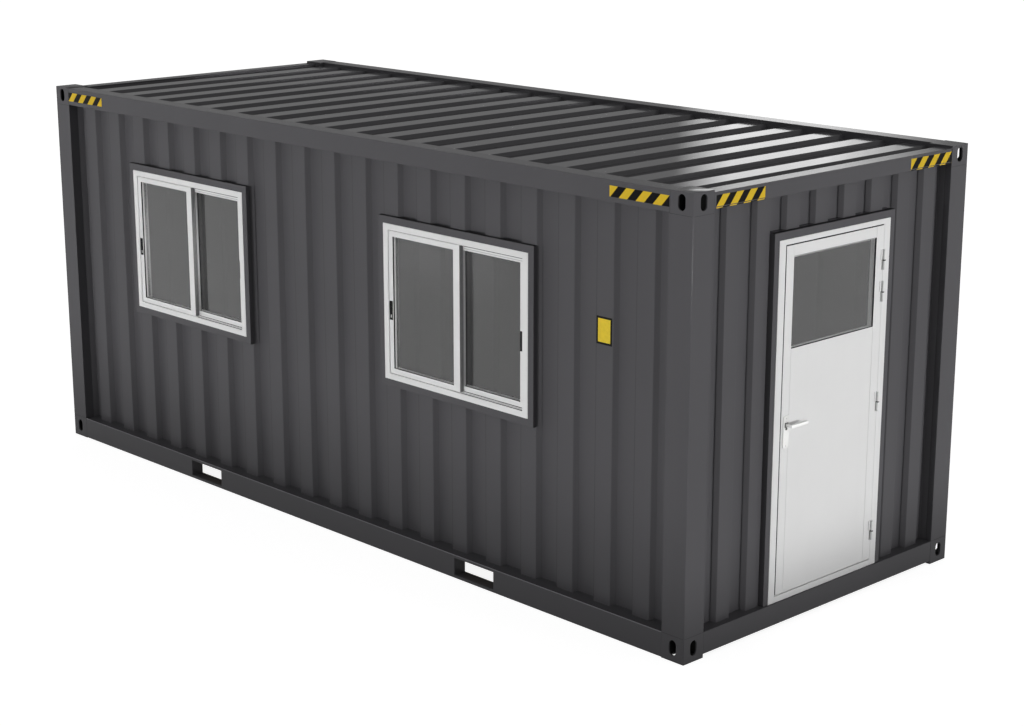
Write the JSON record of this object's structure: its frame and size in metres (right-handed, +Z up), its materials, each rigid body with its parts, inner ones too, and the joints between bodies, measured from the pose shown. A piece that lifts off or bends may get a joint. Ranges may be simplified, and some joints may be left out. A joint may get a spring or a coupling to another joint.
{
  "type": "shipping container cabin",
  "caption": "Steel cabin in a container frame with corrugated walls and roof, sliding windows on a long side and a half-glazed door in one end.",
  "frame": {"origin": "ground level under the middle of the steel frame", "axes": "+X along the length, out of the door end; -Y out of the window side; +Z up"},
  "size_m": [6.104, 2.438, 2.591],
  "materials": {
    "frame_steel": "satin anthracite paint",
    "wall_steel": "satin anthracite paint on corrugated sheet",
    "white_joinery": "white powder coat",
    "glazing": "clear grey pane",
    "plywood": "sealed plywood",
    "latch_plastic": "black moulded",
    "handle_metal": "satin"
  },
  "bodies": {
    "cabin": {"top_corner_fittings": "frame_steel", "bottom_corner_fittings": "frame_steel", "door_end_rear_post": "frame_steel", "door_end_front_post": "frame_steel", "blind_end_rear_post": "frame_steel", "blind_end_front_post": "frame_steel", "rear_top_rail": "frame_steel", "front_top_rail": "frame_steel", "rear_bottom_rail": "frame_steel", "front_bottom_rail": "frame_steel", "door_end_header": "frame_steel", "blind_end_header": "frame_steel", "door_end_sill": "frame_steel", "blind_end_sill": "frame_steel", "fork_pockets": "frame_steel", "cross_members": "frame_steel", "floor": "plywood", "roof_panel": "wall_steel", "front_wall_left": "wall_steel", "front_wall_middle": "wall_steel", "front_wall_right": "wall_steel", "front_wall_over_windows": "wall_steel", "front_wall_under_windows": "wall_steel", "rear_wall": "wall_steel", "blind_end_wall": "wall_steel", "door_wall_front": "wall_steel", "door_wall_rear": "wall_steel", "door_wall_over": "wall_steel", "window_latches": "latch_plastic", "door_surround": "frame_steel", "door_frame": "white_joinery", "door_hinge_frame_halves": "white_joinery", "window_left_surround": "frame_steel", "window_left_frame": "white_joinery", "window_left_front_sash": "white_joinery", "window_left_rear_sash": "white_joinery", "window_left_panes": "glazing", "window_right_surround": "frame_steel", "window_right_frame": "white_joinery", "window_right_front_sash": "white_joinery", "window_right_rear_sash": "white_joinery", "window_right_panes": "glazing"},
    "door": {"door_leaf": "white_joinery", "door_pane": "glazing", "door_handle_plates": "handle_metal", "door_hinge_leaf_halves": "white_joinery"},
    "lever": {"door_lever": "handle_metal"}
  },
  "joints": [
    {"name": "door_swing", "type": "hinge", "parent": "cabin", "child": "door", "pos_m": [3.0285, 0.4395, 1.2], "axis": [0, 0, 1], "range_deg": [0, 110]},
    {"name": "lever_turn", "type": "hinge", "parent": "door", "child": "lever", "pos_m": [3.02, -0.398, 1.191], "axis": [-1, 0, 0], "range_deg": [0, 45], "stiffness_Nm_per_rad": 1.2, "springref_deg": -22.92}
  ]
}
